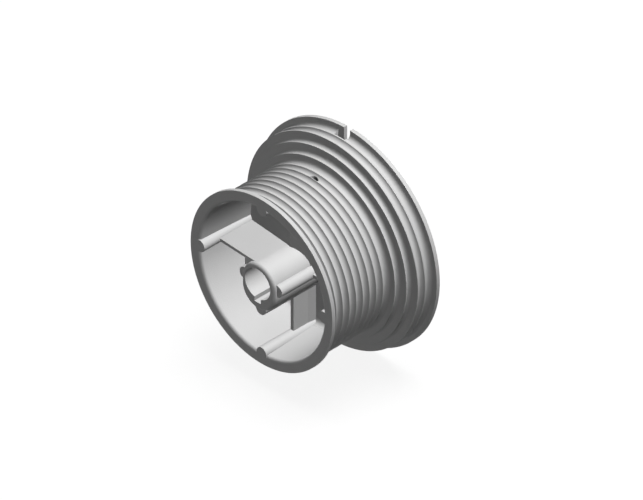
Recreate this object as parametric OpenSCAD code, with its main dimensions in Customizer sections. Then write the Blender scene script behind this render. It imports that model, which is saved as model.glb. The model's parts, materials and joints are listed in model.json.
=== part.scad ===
// Cable drum of a sectional garage door with high lift, cast in one piece.
// The shaft runs along Y. The small rim faces -Y, the flange faces +Y, and +Z is up.
// The origin is on the shaft's axis, in the hub's front end face. Lengths are in millimetres.

/* [Shaft and hub] */
// Diameter of the shaft
shaft_d = 25.4; // [20:0.1:30]
// Play of the shaft in the bore, on the diameter
bore_play = 0.2; // [0.05:0.05:0.6]
// Wall of the hub round the bore
hub_wall = 3.6; // [3:0.1:6]
// How far the lower half of the hub hangs below the upper half
hub_drop = 5.9; // [5:0.1:9]
// Round on the edge of the hub's front face
hub_round = 2.6; // [0.5:0.1:3]
// How far the hub stands out in front of the small rim
hub_proud_front = 3.9; // [2:0.1:8]
// How far the hub stands out behind the flange
hub_proud_back = 2; // [0.5:0.1:8]
// Width of the keyway
key_w = 6.4; // [4:0.1:8]
// Depth of the keyway below the bore
key_depth = 3.3; // [1.5:0.1:4.5]

/* [Cable grooves] */
// Depth of the round grooves below the ridges
groove_depth = 2.22; // [1.6:0.01:2.6]
// Width of the land left on each ridge
ridge_land = 0.35; // [0.2:0.05:0.8]
// Radius over the ridges of the small part
ridge_r = 67.4; // [60:0.1:80]
// Distance from ridge to ridge on the small part
pitch = 6.73; // [6:0.01:8]
// Number of ridges on the small part
ridge_count = 8; // [5:1:12]
// Width of the first groove, between the rim and the first ridge
lead_in = 5.2; // [4:0.1:6.4]
// Rise from the small part to the first step
first_rise = 5.2; // [4.5:0.1:8]
// Rise from each step to the next
step_rise = 6.9; // [5:0.1:9]
// Width of a step along the axis
step_run = 4.65; // [4:0.05:6]
// Number of steps
step_count = 3; // [2:1:5]
// Radius of the round foot on a step, as a share of the step's width
step_foot_share = 0.56; // [0.52:0.01:0.7]
// Distance from ridge to ridge on the large part
top_pitch = 7.45; // [7.2:0.05:9]
// Number of level grooves on the large part
top_count = 2; // [1:1:4]

/* [Rim and flange] */
// How far the small rim stands above the ridges
rim_height = 4.2; // [2:0.1:8]
// Thickness of the small rim
rim_t = 3.2; // [2:0.1:5]
// Round on the inner edge of the small rim
rim_round = 2.5; // [0.5:0.1:3.5]
// How far the flange stands above the last ridge
flange_height = 4.2; // [2:0.1:10]
// Thickness of the flange
flange_t = 3.2; // [2:0.1:6]

/* [Walls and ribs] */
// Wall under the small part's grooves, at the rim
wall = 2.6; // [2:0.1:3.5]
// How much the cup narrows from the rim to its floor
draft = 2.6; // [1:0.1:4]
// Wall under the large part's grooves
back_wall = 3.2; // [2.5:0.1:5]
// Thickness of the web between the hub and the outer wall
web_t = 5; // [3:0.1:8]
// Distance of the cup's floor in front of the first step
floor_setback = 9.3; // [7:0.1:14]
// Round between the floor and the wall
floor_round = 4.5; // [1:0.1:6]
// Height of the roofed web above the floor, over the hub's upper half
roof_height = 24.4; // [10:0.1:30]
// Slope of that roof to either side, in degrees
roof_slope = 18.8; // [0:0.1:20]
// Radius of the half-round ribs on the wall and on the hub
round_rib_r = 5; // [3:0.1:6]
// How far the round ribs end behind the hub's front face
round_rib_step = 3.2; // [2.6:0.1:6]
// Thickness of the wing from the hub's top to the wall
wing_t = 2.4; // [2:0.1:5]
// Depth of the wing's front edge at the hub, behind the hub's face
wing_hub_depth = 1.5; // [0.5:0.1:10]
// Depth of the wing's front edge at the wall, behind the rim
wing_wall_depth = 16.8; // [6:0.1:30]
// How far the gusset under the wing reaches beyond the hub
gusset_w = 4.5; // [1:0.1:4.8]
// Thickness of the straight spokes
spoke_t = 2.9; // [2:0.1:6]
// Height of the straight spokes above the floor
spoke_height = 22; // [8:0.1:24]
// How much a spoke widens at its foot, on each side
foot_w = 0.8; // [0.2:0.1:3]
// Height of that foot above the floor
foot_height = 7.4; // [2:0.1:10]
// Fillet between the lower spoke and the hub
spoke_round = 5; // [1:0.1:8]
// Thickness of the ribs behind the web
back_rib_t = 3; // [2:0.1:6]
// How far the ribs behind the web stop short of the flange
back_rib_step = 9; // [4:0.5:14]

/* [Cable anchorage] */
// Diameter of the cable hole in the small part
cable_hole_d = 5; // [3:0.1:5.4]
// Slope of the cable hole against the groove, in degrees
cable_hole_slope = 45; // [30:1:50]
// How far the cable hole sits off the middle of its groove, towards the rim
cable_hole_shift = 1; // [0:0.1:1.6]
// How far the cable hole sits to the right of the top
cable_hole_side = 1.5; // [0:0.1:3]
// Which groove holds the cable hole, counted from the first step towards the rim
cable_hole_turn = 2; // [1:1:4]
// Width of the cable slot through the flange
slot_w = 6; // [3:0.1:10]
// Length of the anchor pocket beside the slot
pocket_l = 5.8; // [2:0.1:10]
// How deep slot and pocket are cut below the last ridge
slot_depth = 7.4; // [3:0.1:8]
// Thickness of the pad under slot and pocket, and round them
pad_t = 3; // [2:0.1:5]

/* [Hidden] */
$fn = 96;

// How far one solid reaches into its neighbour, and a cutter past a face
bite = 1;
// How far the floor's round is sunk, so that it meets floor and wall at an edge
round_sink = 0.15;

// Hub and bore
bore_r = (shaft_d + bore_play) / 2;
hub_r = bore_r + hub_wall;
hub_base = -hub_drop;

// Groove section: half of its mouth, its radius, and its centre above the ridges
mouth = (pitch - ridge_land) / 2;
groove_r = (mouth * mouth + groove_depth * groove_depth) / (2 * groove_depth);
centre_up = groove_r - groove_depth;

// Places along the axis
rim_y = hub_proud_front;
first_ridge_y = rim_y + rim_t + lead_in;
step_y = first_ridge_y + ridge_count * pitch;
top_y = step_y + (step_count - 1) * step_run;
flange_y = top_y + top_count * top_pitch;
flange_back_y = flange_y + flange_t;
hub_end_y = flange_back_y + hub_proud_back;
floor_y = step_y - floor_setback;
web_back_y = floor_y + web_t;
cone_y = step_y - groove_r / 2;
cone_end_y = top_y + top_pitch;
roof_y = floor_y - roof_height;

// Radii
rim_r = ridge_r + rim_height;
function step_r(i) = ridge_r + first_rise + i * step_rise;
top_r = step_r(step_count - 1);
flange_r = top_r + flange_height;
cup_r = ridge_r - groove_depth - wall;
floor_r = cup_r - draft;
back_r = top_r - groove_depth - back_wall;
slot_bottom = top_r - slot_depth;

// The wing leaves the hub's top on a tangent and meets the wall's round rib on the left
wing_tilt = asin(hub_r / cup_r);

// Groove i of the small part, counted from the rim; the last one ends at the first step
module level_groove(i) {
    translate([ridge_r + centre_up, first_ridge_y + (i - 0.5) * pitch])
        circle(r = groove_r);
}

// Round foot of a riser: fills the corner up to the groove's centre, which is then cut round
module riser_foot(foot_r, riser_y, round) {
    translate([0, riser_y - round])
        square([foot_r, round]);
}

module riser_groove(foot_r, riser_y, round) {
    translate([foot_r, riser_y - round])
        circle(r = round);
}

// Radius of the groove at the foot of riser i, how far its centre lies behind the ridge before it,
// and the height of that centre, so that the groove starts at that ridge
function foot_round(i) = i == 0 ? groove_r : step_run * step_foot_share;
function before_riser(i) = (i == 0 ? pitch - ridge_land : step_run) - foot_round(i);
function foot_r(i) = (i == 0 ? ridge_r : step_r(i - 1))
    + sqrt(foot_round(i) * foot_round(i) - before_riser(i) * before_riser(i));
flange_foot_r = top_r + centre_up;

// Outside of the drum, from the axis out: small part, stepped part, large part
module scroll_section() {
    difference() {
        union() {
            translate([0, rim_y])
                square([ridge_r, step_y - rim_y]);
            for (i = [0 : step_count - 1]) {
                translate([0, step_y + i * step_run])
                    square([step_r(i), flange_back_y - step_y - i * step_run]);
                riser_foot(foot_r(i), step_y + i * step_run, foot_round(i));
            }
            riser_foot(flange_foot_r, flange_y, groove_r);
        }
        for (i = [0 : ridge_count - 1])
            level_groove(i);
        for (i = [0 : step_count - 1])
            riser_groove(foot_r(i), step_y + i * step_run, foot_round(i));
        for (i = [1 : 1 : top_count - 1])
            translate([top_r + centre_up, top_y + i * top_pitch - ridge_land / 2 - mouth])
                circle(r = groove_r);
        riser_groove(flange_foot_r, flange_y, groove_r);
    }
    translate([0, rim_y])
        square([rim_r, rim_t]);
    translate([0, flange_y])
        square([flange_r, flange_t]);
}

// Inside of the outer wall: drafted cup in front, cone behind, with a round lip at the rim
module hollow_section() {
    lip_r = cup_r + rim_round;
    lip_y = rim_y + rim_round;
    difference() {
        polygon([
            [0, rim_y - bite], [lip_r, rim_y - bite], [lip_r, lip_y], [cup_r, lip_y],
            [floor_r, floor_y], [floor_r, cone_y], [back_r, cone_end_y],
            [back_r, flange_back_y + bite], [0, flange_back_y + bite]
        ]);
        translate([lip_r, lip_y])
            circle(r = rim_round);
    }
}

// Turns a section in radius and axis about the shaft
module turned() {
    rotate([-90, 0, 0])
        rotate_extrude()
            children();
}

// Raises an outline drawn as seen from the small rim, from depth y0 to depth y1
module along_shaft(y0, y1) {
    translate([0, y1, 0])
        rotate([90, 0, 0])
            linear_extrude(y1 - y0)
                children();
}

module outer_wall() {
    turned()
        difference() {
            scroll_section();
            hollow_section();
        }
}

// Outline of everything below the wing on the left and the spoke on the right
module lower_half() {
    reach = 2 * flange_r;
    rotate(wing_tilt)
        polygon([[0, 0], [0, hub_r - wing_t / 2], [-reach, hub_r - wing_t / 2], [-reach, -reach], [0, -reach]]);
    polygon([[0, 0], [reach, 0], [reach, -reach], [-reach, -reach]]);
}

// The web: roofed above, where it comes forward to the hub, and flat and deep below
module web() {
    roof_fall = (floor_r + bite) * tan(roof_slope);
    intersection() {
        along_shaft(rim_y, flange_back_y)
            difference() {
                circle(r = floor_r + bite);
                lower_half();
            }
        linear_extrude(2 * flange_r, center = true)
            polygon([
                [-floor_r - bite, roof_y + roof_fall], [0, roof_y], [floor_r + bite, roof_y + roof_fall],
                [floor_r + bite, roof_y + roof_fall + web_t], [0, roof_y + web_t],
                [-floor_r - bite, roof_y + roof_fall + web_t]
            ]);
    }
    along_shaft(floor_y, web_back_y)
        intersection() {
            circle(r = floor_r + bite);
            lower_half();
        }
    // Round between the floor and the wall, over the lower half turn, a little sunk into both
    corner = [floor_r - floor_round, floor_y - floor_round];
    rotate([-90, 0, 0])
        rotate_extrude(angle = 180)
            difference() {
                translate(corner)
                    square(floor_round + bite / 2);
                translate(corner + [round_sink, round_sink])
                    circle(r = floor_round);
            }
}

// Hub: round above, longer below, with a rounded front edge
module hub() {
    along_shaft(hub_round, hub_end_y) {
        circle(r = hub_r);
        translate([0, hub_base])
            circle(r = hub_r);
        translate([-hub_r, hub_base])
            square([2 * hub_r, hub_drop]);
    }
    for (z = [0, hub_base])
        translate([0, 0, z])
            turned()
                hub_edge();
    translate([0, 0, hub_base])
        linear_extrude(hub_drop)
            for (side = [0, 1])
                mirror([side, 0])
                    hub_edge();
}

module hub_edge() {
    square([hub_r - hub_round, 2 * hub_round]);
    translate([0, hub_round])
        square([hub_r, hub_round]);
    translate([hub_r - hub_round, hub_round])
        circle(r = hub_round);
}

// Half-round ribs: four on the cup's wall, the top one ending in the roof, and three along the hub
module round_ribs() {
    for (turn = [0 : 90 : 270])
        along_shaft(rim_y, turn == 90 ? roof_y + web_t : web_back_y)
            rotate(turn)
                intersection() {
                    translate([cup_r, 0])
                        circle(r = round_rib_r);
                    circle(r = cup_r + rim_round);
                }
    along_shaft(round_rib_step, web_back_y)
        for (place = [[hub_r, 0], [-hub_r, 0], [0, hub_base - hub_r - bite]])
            translate(place)
                circle(r = round_rib_r);
}

// Wing: a wall on a tangent to the hub, whose front edge slopes back towards the outer wall
module wing() {
    reach = cup_r * cos(wing_tilt);
    gusset_l = hub_r + gusset_w;
    wing_top = (hub_r - wing_t / 2) / cos(wing_tilt);
    intersection() {
        along_shaft(0, web_back_y) {
            rotate(wing_tilt)
                translate([-reach - bite, hub_r - wing_t])
                    square([reach + bite, wing_t]);
            polygon([
                [0, 0], [-gusset_l, 0], [-gusset_l, wing_top - gusset_l * tan(wing_tilt)], [0, wing_top]
            ]);
        }
        linear_extrude(4 * hub_r, center = true)
            polygon([
                [0, wing_hub_depth], [-floor_r - bite, rim_y + wing_wall_depth],
                [-cup_r - bite, rim_y + wing_wall_depth], [-cup_r - bite, web_back_y], [0, web_back_y]
            ]);
    }
}

// Straight spokes from the hub down and to the right, with a chamfered foot on the floor
module spokes() {
    for (turn = [0, -90])
        rotate([0, -turn, 0])
            linear_extrude(spoke_t, center = true)
                translate([bore_r + bite, floor_y - spoke_height])
                    square([floor_r - bore_r, spoke_height + web_t]);
    // Wider foot of the spoke that runs down
    translate([0, 0, -floor_r - bite])
        linear_extrude(floor_r - hub_r)
            polygon([
                [-spoke_t / 2, floor_y - foot_height], [spoke_t / 2, floor_y - foot_height],
                [spoke_t / 2 + foot_w, floor_y + bite], [-spoke_t / 2 - foot_w, floor_y + bite]
            ]);
    // Fillet between that spoke and the hub, on its left
    fillet_y = hub_base - hub_r - round_rib_r - spoke_round;
    along_shaft(floor_y - spoke_height, web_back_y)
        difference() {
            translate([-spoke_t / 2 - spoke_round, fillet_y])
                square([spoke_t / 2 + spoke_round, spoke_round + round_rib_r + bite]);
            translate([-spoke_t / 2 - spoke_round, fillet_y])
                circle(r = spoke_round);
        }
}

// Ribs behind the web, one behind each round rib of the cup
module back_ribs() {
    back_y = flange_back_y - back_rib_step;
    for (turn = [0 : 90 : 270])
        rotate([0, turn, 0])
            linear_extrude(back_rib_t, center = true)
                polygon([
                    [bore_r + bite, web_back_y - bite], [floor_r + bite, web_back_y - bite],
                    [floor_r + bite, cone_y], [back_r + bite, cone_end_y],
                    [back_r, cone_end_y], [bore_r + bite, back_y]
                ]);
}

// Bore with its keyway at the bottom
module bore() {
    along_shaft(-bite, hub_end_y + bite) {
        circle(r = bore_r);
        translate([-key_w / 2, -bore_r - key_depth])
            square([key_w, bore_r + key_depth]);
    }
}

// Hole that takes the cable's end through the small part, sloped along its groove
module cable_hole() {
    hole_y = step_y - (cable_hole_turn - 0.5) * pitch - cable_hole_shift;
    length = 4 * (groove_depth + wall + draft + web_t);
    translate([cable_hole_side, hole_y, ridge_r - groove_depth])
        rotate([0, 90 + cable_hole_slope, 0])
            cylinder(d = cable_hole_d, h = length, center = true);
}

// Pad that the slot and the pocket are cut into, behind the last groove
module anchor_pad() {
    bottom = slot_bottom - pad_t;
    pad_y = flange_y - groove_r - mouth - pad_t;
    translate([-slot_w / 2 - pocket_l - pad_t, pad_y, bottom])
        cube([slot_w + pocket_l + 2 * pad_t, flange_back_y - pad_y, back_r + bite - bottom]);
}

// Slot through the flange at the top, and the pocket beside it in the last groove
module anchorage() {
    bottom = slot_bottom;
    translate([-slot_w / 2, flange_y - bite, bottom])
        cube([slot_w, flange_t + 2 * bite, flange_height + slot_depth + bite]);
    translate([-slot_w / 2 - pocket_l, flange_y - groove_r - mouth, bottom])
        cube([slot_w + pocket_l, groove_r + mouth, flange_height + slot_depth + bite]);
}

module cable_drum() {
    color([0.64, 0.65, 0.66])
        difference() {
            union() {
                outer_wall();
                web();
                hub();
                round_ribs();
                wing();
                spokes();
                back_ribs();
                anchor_pad();
            }
            bore();
            cable_hole();
            anchorage();
        }
}

cable_drum();
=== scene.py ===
import json

import bpy
import numpy as np
from mathutils import Matrix, Vector


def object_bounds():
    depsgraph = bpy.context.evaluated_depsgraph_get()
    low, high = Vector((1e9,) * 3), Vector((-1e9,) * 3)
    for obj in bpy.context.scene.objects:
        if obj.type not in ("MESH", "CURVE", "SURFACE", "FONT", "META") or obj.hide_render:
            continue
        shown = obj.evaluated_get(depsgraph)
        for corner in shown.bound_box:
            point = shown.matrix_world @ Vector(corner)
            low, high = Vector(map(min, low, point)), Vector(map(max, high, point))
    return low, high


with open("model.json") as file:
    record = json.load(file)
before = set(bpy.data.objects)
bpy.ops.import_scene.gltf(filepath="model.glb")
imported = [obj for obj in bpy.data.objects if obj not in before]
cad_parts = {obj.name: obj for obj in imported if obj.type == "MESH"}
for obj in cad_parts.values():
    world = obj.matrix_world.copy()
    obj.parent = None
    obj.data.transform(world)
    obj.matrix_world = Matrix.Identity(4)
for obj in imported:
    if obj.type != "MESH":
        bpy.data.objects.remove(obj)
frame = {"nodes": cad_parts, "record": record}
cad_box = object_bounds()


# The drum
# One casting of aluminium: the grooved barrel, its stepped end and flange, the cup with its
# ribs, and the keyed hub. It comes out of the mould with a fine, matt grain and is left bare.

class Shade:
    """A shader value. Arithmetic on it adds Math nodes, and node() adds any other node."""

    def __init__(self, tree, socket=None):
        self.tree = tree
        self.socket = socket

    def node(self, kind, settings=None, inputs=None, output=0):
        """Adds a node, sets it up, then fills its sockets with values or with other shades."""
        made = self.tree.nodes.new(kind)
        for name, value in (settings or {}).items():
            setattr(made, name, value)
        for name, value in (inputs or {}).items():
            if isinstance(value, Shade):
                self.tree.links.new(value.socket, made.inputs[name])
            else:
                made.inputs[name].default_value = value
        return Shade(self.tree, made.outputs[output] if made.outputs else None)

    def math(self, operation, first, second):
        return self.node("ShaderNodeMath", {"operation": operation}, {0: first, 1: second})

    def __add__(self, other):
        return self.math("ADD", self, other)

    __radd__ = __add__

    def __sub__(self, other):
        return self.math("SUBTRACT", self, other)

    def __rsub__(self, other):
        return self.math("SUBTRACT", other, self)

    def __mul__(self, other):
        return self.math("MULTIPLY", self, other)

    __rmul__ = __mul__


def new_material(name):
    """Gives an empty material and the shade that adds nodes to it."""
    material = bpy.data.materials.new(name)
    material.use_nodes = True
    material.node_tree.nodes.clear()
    return material, Shade(material.node_tree)


def vector_math(shade, operation, first, second=(0, 0, 0)):
    """Works on vectors. A length or a dot product comes out as a number."""
    output = "Value" if operation in ("LENGTH", "DOT_PRODUCT") else "Vector"
    return shade.node("ShaderNodeVectorMath", {"operation": operation}, {0: first, 1: second}, output)


def fade(shade, value, start, full, least=0):
    """Goes smoothly from least, where the value is at start, to 1, where it is at full."""
    return shade.node("ShaderNodeMapRange", {"interpolation_type": "SMOOTHSTEP"},
                      {"Value": value, "From Min": start, "From Max": full, "To Min": least})


def mix_colour(shade, blend, share, under, over):
    """Lays one colour over another by a share. The node's colour sockets go by number."""
    UNDER = 6
    OVER = 7
    RESULT = 2
    return shade.node("ShaderNodeMix", {"data_type": "RGBA", "blend_type": blend},
                      {"Factor": share, UNDER: under, OVER: over}, RESULT)


def outside_shade_share(shade, place):
    """Painted shade: 1 on the faces of the grooved outside that look outwards beyond the cup, and 0
    elsewhere.

    A face looks outwards by the dot product of its normal with the spoke from the shaft to it.
    """
    ACROSS_SHAFT = (1, 0, 1)
    CUP_R = 0.061
    GROOVE_R = 0.064
    SIDEWAYS = 0.05
    OUTWARDS = 0.35
    spoke = vector_math(shade, "MULTIPLY", place, ACROSS_SHAFT)
    radius = vector_math(shade, "LENGTH", spoke)
    facing = shade.node("ShaderNodeNewGeometry", output="Normal")
    outwards = vector_math(shade, "DOT_PRODUCT", facing, vector_math(shade, "NORMALIZE", spoke))
    return fade(shade, radius, CUP_R, GROOVE_R) * fade(shade, outwards, SIDEWAYS, OUTWARDS)


def hole_shade_share(shade, place):
    """Painted shade in the cable hole: 0 away from it, and on its wall a share at the mouth that grows
    to 1 with depth.

    The wall lies at the hole's radius from its axis, within reach of the hole's middle.
    """
    HOLE_R = 0.0025
    EDGE_R = 0.0031
    REACH = 0.012
    REACH_END = 0.013
    MOUTH = 0.002
    DEEP = -0.001
    MOUTH_SHARE = 0.5
    hole = next(mount for mount in frame["record"]["mounts"] if mount["name"] == "cable_hole")
    offset = vector_math(shade, "SUBTRACT", place, hole["pos_m"])
    reach = vector_math(shade, "LENGTH", offset)
    radius = vector_math(shade, "LENGTH", vector_math(shade, "CROSS_PRODUCT", offset, hole["axis"]))
    height = vector_math(shade, "DOT_PRODUCT", offset, hole["axis"])
    on_wall = fade(shade, radius, EDGE_R, HOLE_R) * fade(shade, reach, REACH_END, REACH)
    return on_wall * fade(shade, height, MOUTH, DEEP, MOUTH_SHARE)


def cast_aluminium():
    """Bare casting: a matt grey, a little uneven in tone, with a fine grain from the mould.

    Tone and roughness are a mean plus a share of broad noise, and the grain is a shallow bump. The
    outward faces of the grooved outside carry painted shade, and the cable hole has painted shade
    inside.
    """
    TONE_DARK = (0.62, 0.62, 0.62, 1)
    TONE_LIGHT = (0.68, 0.68, 0.68, 1)
    # Painted shade: the outward faces of the grooved outside are darkened by this colour.
    OUTSIDE_SHADE = (0.88, 0.88, 0.88, 1)
    # Painted shade: the wall of the cable hole darkens towards this grey with depth.
    HOLE_SHADE = (0.12, 0.12, 0.12, 1)
    CLOUD_SCALE = 38
    CLOUD_DETAIL = 4
    CLOUD_MEAN = 0.5
    GRAIN_SCALE = 1400
    GRAIN_DETAIL = 2
    GRAIN_DEPTH = 0.00008
    ROUGHNESS = 0.5
    ROUGHNESS_SPREAD = 0.12
    GLOSS = 0.12

    material, shade = new_material("cast_aluminium")
    place = shade.node("ShaderNodeTexCoord", output="Object")
    cloud = shade.node("ShaderNodeTexNoise", None,
                       {"Vector": place, "Scale": CLOUD_SCALE, "Detail": CLOUD_DETAIL})
    grain = shade.node("ShaderNodeTexNoise", None,
                       {"Vector": place, "Scale": GRAIN_SCALE, "Detail": GRAIN_DETAIL})
    clean = mix_colour(shade, "MIX", cloud, TONE_DARK, TONE_LIGHT)
    # Painted shade on the outward faces of the grooved outside.
    shaded_outside = mix_colour(shade, "MULTIPLY", outside_shade_share(shade, place), clean, OUTSIDE_SHADE)
    # Painted shade on the wall of the cable hole, darker the deeper it lies.
    tone = mix_colour(shade, "MULTIPLY", hole_shade_share(shade, place), shaded_outside, HOLE_SHADE)
    bump = shade.node("ShaderNodeBump", None, {"Height": grain, "Distance": GRAIN_DEPTH, "Strength": 1})
    skin = shade.node("ShaderNodeBsdfPrincipled", None, {
        "Base Color": tone,
        "Roughness": (cloud - CLOUD_MEAN) * ROUGHNESS_SPREAD + ROUGHNESS,
        "Metallic": 0,
        "Specular IOR Level": GLOSS,
        "Normal": bump,
    })
    shade.node("ShaderNodeOutputMaterial", None, {"Surface": skin})
    return material


drum = frame["nodes"]["cable_drum"]
drum.data.materials.clear()
drum.data.materials.append(cast_aluminium())


# The floor
# A plain white sheet, lit by a lamp of its own so that it keeps the drum's soft shadow. The drum
# hangs on its shaft, so its flange just clears the sheet.

def floor_sheet():
    """A flat square below the drum's lowest point, on a grid of two by two corners."""
    HALF_WIDTH = 6
    GAP = 0.002
    side = np.array([-HALF_WIDTH, HALF_WIDTH])
    x, y = np.meshgrid(side, side)
    z = np.full_like(x, cad_box[0][2] - GAP, dtype=float)
    corners = np.stack([x, y, z], axis=-1).reshape(-1, 3)
    mesh = bpy.data.meshes.new("floor")
    mesh.from_pydata(corners.tolist(), [], [(0, 1, 3, 2)])
    floor = bpy.data.objects.new("floor", mesh)
    bpy.context.collection.objects.link(floor)
    return floor


def seen_share(shade):
    """1 for what is looked at, straight, in a reflection or through glass, and 0 for bounced light."""
    return (shade.node("ShaderNodeLightPath", output="Is Camera Ray")
            + shade.node("ShaderNodeLightPath", output="Is Glossy Ray")
            + shade.node("ShaderNodeLightPath", output="Is Transmission Ray"))


def floor_white():
    """White to the eye and in reflections, and a dull grey to light that bounces off it.

    To the eye it is a pale diffuse sheet plus an even glow, so that only the shadow falls below white.
    """
    PALE = (0.9, 0.9, 0.9, 1)
    DULL = (0.1, 0.1, 0.1, 1)
    GLOW = 0.88
    material, shade = new_material("floor_white")
    pale = shade.node("ShaderNodeBsdfDiffuse", None, {"Color": PALE})
    glow = shade.node("ShaderNodeEmission", None, {"Strength": GLOW})
    white = shade.node("ShaderNodeAddShader", None, {0: pale, 1: glow})
    dull = shade.node("ShaderNodeBsdfDiffuse", None, {"Color": DULL})
    surface = shade.node("ShaderNodeMixShader", None, {0: seen_share(shade), 1: dull, 2: white})
    shade.node("ShaderNodeOutputMaterial", None, {"Surface": surface})
    return material


floor = floor_sheet()
floor.data.materials.append(floor_white())


# The light
# Four soft boxes light the drum alone and cast no shadow on it: one above and behind, one to the
# right, a weak one in front, and a weak one behind and below. A fifth lights the floor alone and
# draws the drum's shadow there. All stand in a white room.

def soft_box(name, towards, size, light, lit, shadow):
    """A square lamp that faces the drum's middle from one side and gives one object that much light.

    A lamp of power P lights a point straight in front of it at P / (pi * distance squared).
    """
    DISTANCE = 1.8
    middle = (Vector(cad_box[0]) + Vector(cad_box[1])) / 2
    towards = Vector(towards).normalized()
    lamp = bpy.data.lights.new(name, "AREA")
    lamp.shape = "SQUARE"
    lamp.size = size
    lamp.energy = light * np.pi * DISTANCE ** 2
    lamp.use_shadow = shadow
    lamp.cycles.max_bounces = 0
    box = bpy.data.objects.new(name, lamp)
    turn = towards.to_track_quat("Z", "Y").to_matrix().to_4x4()
    box.matrix_world = Matrix.Translation(middle + DISTANCE * towards) @ turn
    bpy.context.collection.objects.link(box)
    box.light_linking.receiver_collection = bpy.data.collections.new(name)
    box.light_linking.receiver_collection.objects.link(lit)


def white_room():
    """The world: white where it is seen, dim where it lights the drum."""
    WHITE = (1, 1, 1, 1)
    SEEN = 1
    FILL = 0.03
    world = bpy.data.worlds.new("white_room")
    world.use_nodes = True
    world.node_tree.nodes.clear()
    shade = Shade(world.node_tree)
    strength = seen_share(shade) * (SEEN - FILL) + FILL
    light = shade.node("ShaderNodeBackground", None, {"Color": WHITE, "Strength": strength})
    shade.node("ShaderNodeOutputWorld", None, {"Surface": light})
    bpy.context.scene.world = world


soft_box("main_light", towards=(0.18, 0.45, 0.87), size=0.7, light=2.7, lit=drum, shadow=False)
soft_box("right_light", towards=(0.58, 0.14, 0.8), size=0.7, light=1.55, lit=drum, shadow=False)
soft_box("front_light", towards=(-0.25, -0.93, -0.25), size=0.7, light=0.4, lit=drum, shadow=False)
soft_box("back_light", towards=(-1, 1, -1), size=0.7, light=0.6, lit=drum, shadow=False)
soft_box("floor_light", towards=(0.1, 0.1, 1), size=1.3, light=0.6, lit=floor, shadow=True)
white_room()


# The camera
# A view without perspective, as the photograph has it: from the right, in front and above, along
# a diagonal of the axes. The middle of the small rim lies on the same pixel as there.

def photo_camera():
    """Looks along the diagonal and slides sideways until the middle of the small rim is in place."""
    IMAGE = (643, 500)
    RIM_MIDDLE_PX = (261.45, 281.76)
    PX_PER_M = 1400
    RIM_DEPTH = 0.0039
    DISTANCE = 2
    CLIP_END = 10
    back = Vector((1, -1, 1)).normalized()
    right = Vector((1, 1, 0)).normalized()
    up = back.cross(right)
    target = (Vector((0, RIM_DEPTH, 0))
              + right * ((IMAGE[0] / 2 - RIM_MIDDLE_PX[0]) / PX_PER_M)
              + up * ((RIM_MIDDLE_PX[1] - IMAGE[1] / 2) / PX_PER_M))
    lens = bpy.data.cameras.new("photo_camera")
    lens.type = "ORTHO"
    lens.ortho_scale = IMAGE[0] / PX_PER_M
    lens.clip_end = CLIP_END
    camera = bpy.data.objects.new("photo_camera", lens)
    turn = Matrix((right, up, back)).transposed().to_4x4()
    camera.matrix_world = Matrix.Translation(target + DISTANCE * back) @ turn
    bpy.context.collection.objects.link(camera)
    bpy.context.scene.camera = camera


photo_camera()
bpy.context.scene.view_settings.view_transform = "Standard"
